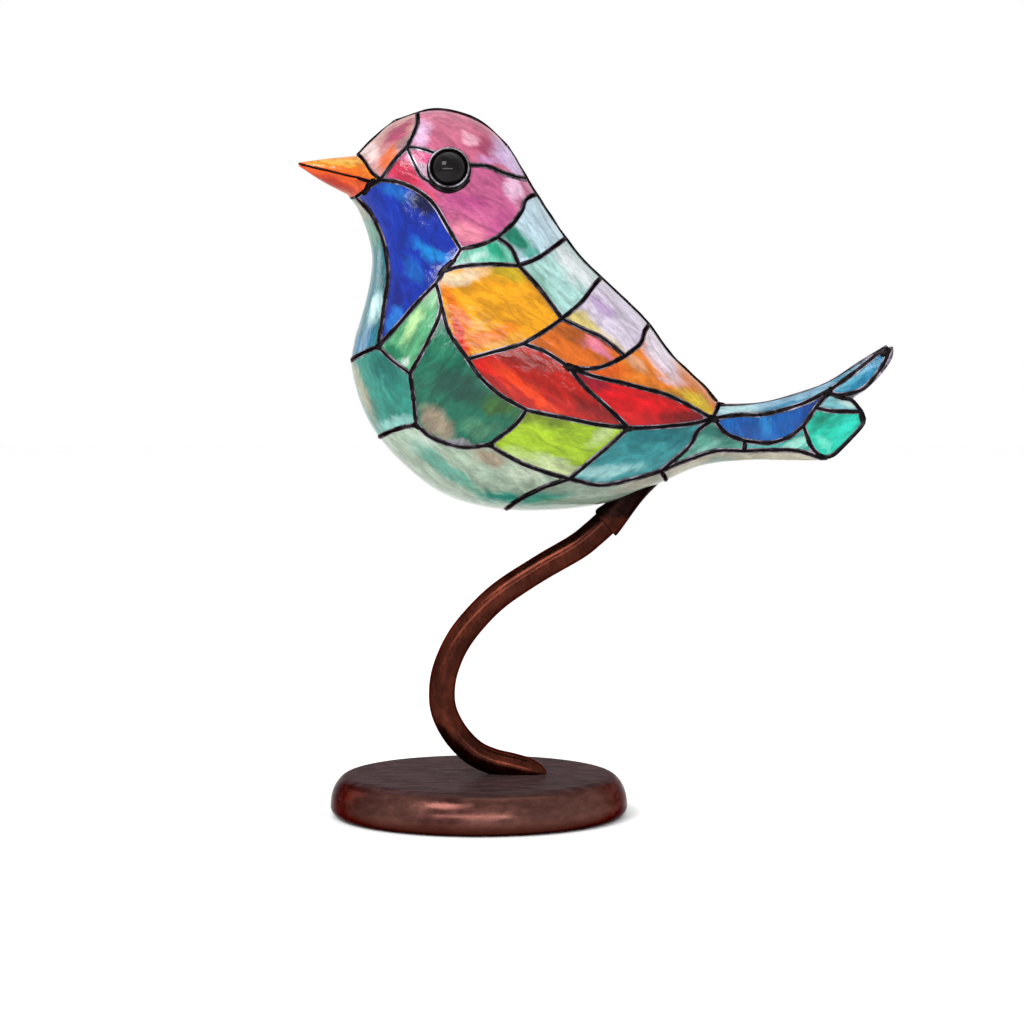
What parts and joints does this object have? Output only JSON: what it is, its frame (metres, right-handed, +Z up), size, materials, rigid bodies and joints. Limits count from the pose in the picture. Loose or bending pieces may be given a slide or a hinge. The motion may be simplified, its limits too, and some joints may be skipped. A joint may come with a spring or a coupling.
{
  "type": "stained glass ornament",
  "caption": "Songbird of coloured glass panes in dark lead lines, on an S-curved copper stem that rises from a round turned base; stands on a desk or shelf.",
  "frame": {"origin": "centre of the base's underside", "axes": "+Z up along the stem, the bird's beak points to -X and its tail to +X; the bird is the same on both sides of the XZ plane"},
  "size_m": [0.1688, 0.085, 0.2012],
  "materials": {
    "glass_forehead": "gloss",
    "glass_crown": "gloss",
    "glass_eye_front": "gloss",
    "glass_cheek": "gloss",
    "glass_throat": "gloss",
    "glass_neck": "gloss",
    "glass_nape": "gloss",
    "glass_wedge": "gloss",
    "glass_side": "gloss",
    "glass_wing_gold": "gloss",
    "glass_wing_orange": "gloss",
    "glass_wing_red": "gloss",
    "glass_wing_crimson": "gloss",
    "glass_wing_tip": "gloss",
    "glass_back": "gloss",
    "glass_rear_back": "gloss",
    "glass_lime": "gloss",
    "glass_flank": "gloss",
    "glass_vent": "gloss",
    "glass_breast": "gloss",
    "glass_chest": "gloss",
    "glass_belly": "gloss",
    "glass_rear_belly": "gloss",
    "glass_under_tail": "gloss",
    "glass_tail_top": "gloss",
    "glass_tail_blue": "gloss",
    "glass_tail_tip": "gloss",
    "glass_tail_step": "gloss",
    "glass_tail_end": "gloss",
    "glass_tail_middle": "gloss",
    "came": "satin",
    "glass_beak_upper": "gloss",
    "glass_beak_lower": "gloss",
    "glass_eye": "gloss",
    "copper_dark": "satin",
    "copper_stem": "satin",
    "copper_base": "satin"
  },
  "bodies": {
    "root": {"base": "copper_base", "beak_lower": "glass_beak_lower", "beak_upper": "glass_beak_upper", "came": "came", "collar": "copper_dark", "eye_left": "glass_eye", "eye_right": "glass_eye", "pane_back_left": "glass_back", "pane_back_right": "glass_back", "pane_belly": "glass_belly", "pane_breast": "glass_breast", "pane_cheek_left": "glass_cheek", "pane_cheek_right": "glass_cheek", "pane_chest": "glass_chest", "pane_crown_left": "glass_crown", "pane_crown_right": "glass_crown", "pane_eye_front_left": "glass_eye_front", "pane_eye_front_right": "glass_eye_front", "pane_flank_left": "glass_flank", "pane_flank_right": "glass_flank", "pane_forehead_left": "glass_forehead", "pane_forehead_right": "glass_forehead", "pane_lime_left": "glass_lime", "pane_lime_right": "glass_lime", "pane_nape_left": "glass_nape", "pane_nape_right": "glass_nape", "pane_neck_left": "glass_neck", "pane_neck_right": "glass_neck", "pane_rear_back_left": "glass_rear_back", "pane_rear_back_right": "glass_rear_back", "pane_rear_belly": "glass_rear_belly", "pane_side_left": "glass_side", "pane_side_right": "glass_side", "pane_tail_blue": "glass_tail_blue", "pane_tail_end": "glass_tail_end", "pane_tail_middle": "glass_tail_middle", "pane_tail_step": "glass_tail_step", "pane_tail_tip": "glass_tail_tip", "pane_tail_top": "glass_tail_top", "pane_throat_left": "glass_throat", "pane_throat_right": "glass_throat", "pane_under_tail": "glass_under_tail", "pane_vent_left": "glass_vent", "pane_vent_right": "glass_vent", "pane_wedge_left": "glass_wedge", "pane_wedge_right": "glass_wedge", "pane_wing_crimson_left": "glass_wing_crimson", "pane_wing_crimson_right": "glass_wing_crimson", "pane_wing_gold_left": "glass_wing_gold", "pane_wing_gold_right": "glass_wing_gold", "pane_wing_orange_left": "glass_wing_orange", "pane_wing_orange_right": "glass_wing_orange", "pane_wing_red_left": "glass_wing_red", "pane_wing_red_right": "glass_wing_red", "pane_wing_tip_left": "glass_wing_tip", "pane_wing_tip_right": "glass_wing_tip", "stem": "copper_stem"}
  },
  "joints": []
}
